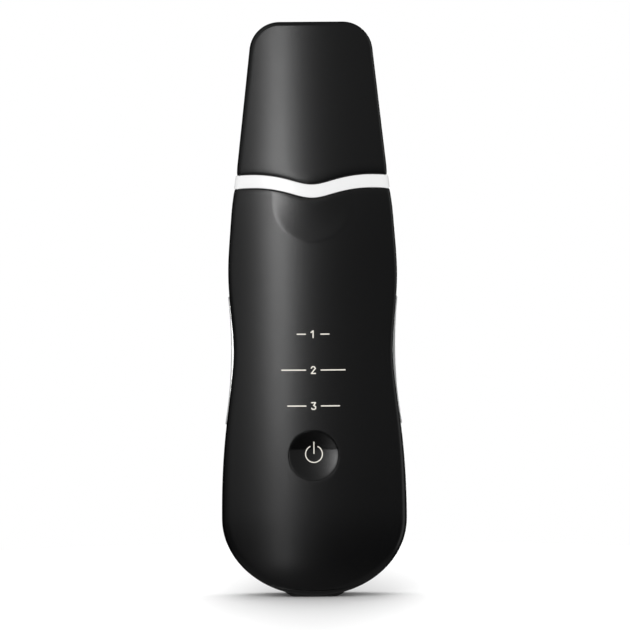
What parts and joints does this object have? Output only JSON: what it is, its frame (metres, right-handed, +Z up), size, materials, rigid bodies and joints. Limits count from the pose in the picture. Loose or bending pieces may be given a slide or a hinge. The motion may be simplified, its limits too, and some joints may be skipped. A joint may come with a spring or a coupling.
{
  "type": "skin scrubber",
  "caption": "Hand-held ultrasonic skin scrubber with a slim waisted handle, a dished power button, metal side strips, a wavy white band and a slide-off cap over a flat steel blade.",
  "frame": {"origin": "on the ground under the middle of the foot pad, with the scrubber upright on its foot and its cap on", "axes": "+Z up along the handle to the cap, -Y out of the front face with the button, +X to the right seen from the front"},
  "size_m": [0.054, 0.025, 0.168],
  "materials": {
    "handle_black": "satin black, fine grain",
    "cap_black": "satin black, fine grain",
    "band_white": "gloss white",
    "button_black": "gloss black dish",
    "light_inlay": "milky light inlay",
    "electrode_steel": "polished stainless steel",
    "foot_black": "matt black",
    "soft_black": "matt black silicone",
    "soft_grey": "grey silicone",
    "neck_black": "gloss black",
    "blade_steel": "fine brushed stainless steel",
    "horn_alloy": "turned alloy",
    "piezo_ceramic": "matt grey-brown ceramic",
    "contact_brass": "plain brass",
    "screw_steel": "zinc-plated steel",
    "board_green": "green solder mask",
    "chip_black": "moulded black resin",
    "winding_copper": "enamelled copper and ferrite",
    "can_metal": "aluminium can",
    "led_resin": "yellow-white LED resin",
    "tray_grey": "dark grey moulded plastic",
    "cell_foil": "aluminium laminate pouch",
    "foam_grey": "dark open-cell foam",
    "lead_red": "red wire insulation",
    "plug_white": "natural nylon"
  },
  "bodies": {
    "handle": {"front_shell": "handle_black", "back_shell": "handle_black", "trim_ring": "band_white", "mode_windows": "light_inlay", "left_electrode": "electrode_steel", "right_electrode": "electrode_steel", "foot_pad": "foot_black", "plug_tether": "soft_black", "screw_plugs": "soft_black", "shell_gasket": "soft_grey", "neck_collar": "neck_black", "blade_seal": "soft_black", "blade": "blade_steel", "blade_pin": "screw_steel", "transducer_horn": "horn_alloy", "front_piezo_ring": "piezo_ceramic", "rear_piezo_ring": "piezo_ceramic", "piezo_electrodes": "contact_brass", "tail_mass": "screw_steel", "clamp_bolt": "screw_steel", "horn_grommet": "soft_grey", "transducer_bracket": "tray_grey", "main_board": "board_green", "tact_switch": "chip_black", "indicator_leds": "led_resin", "light_box": "tray_grey", "boost_transformer": "winding_copper", "filter_inductor": "chip_black", "capacitors": "can_metal", "controller_chip": "chip_black", "driver_transistors": "chip_black", "battery_connector": "plug_white", "usb_socket": "screw_steel", "usb_tongue": "chip_black", "inner_tray": "tray_grey", "battery_cell": "cell_foil", "battery_pad": "foam_grey", "battery_leads": "lead_red", "transducer_leads": "lead_red", "electrode_springs": "contact_brass", "shell_screws": "screw_steel", "board_screws": "screw_steel"},
    "cap": {"protective_cap": "cap_black"},
    "button": {"power_button": "button_black", "power_icon": "light_inlay"},
    "plunger": {"switch_plunger": "chip_black"},
    "plug": {"port_plug": "soft_black"}
  },
  "joints": [
    {"name": "cap_slide", "type": "slide", "parent": "handle", "child": "cap", "axis": [0, 0, 1], "range_m": [0, 0.06]},
    {"name": "button_press", "type": "slide", "parent": "handle", "child": "button", "axis": [0, 1, 0], "range_m": [0, 0.0005], "stiffness_N_per_m": 4000, "springref_m": -0.0002},
    {"name": "plunger_press", "type": "slide", "parent": "handle", "child": "plunger", "axis": [0, 1, 0], "range_m": [0, 0.0005]},
    {"name": "plug_hinge", "type": "hinge", "parent": "handle", "child": "plug", "pos_m": [-0.0059, -0.00007, 0.00055], "axis": [0, 1, 0], "range_deg": [0, 95]}
  ],
  "couplings": [
    {"joint": "plunger_press", "follows": "button_press", "ratio": 1}
  ]
}
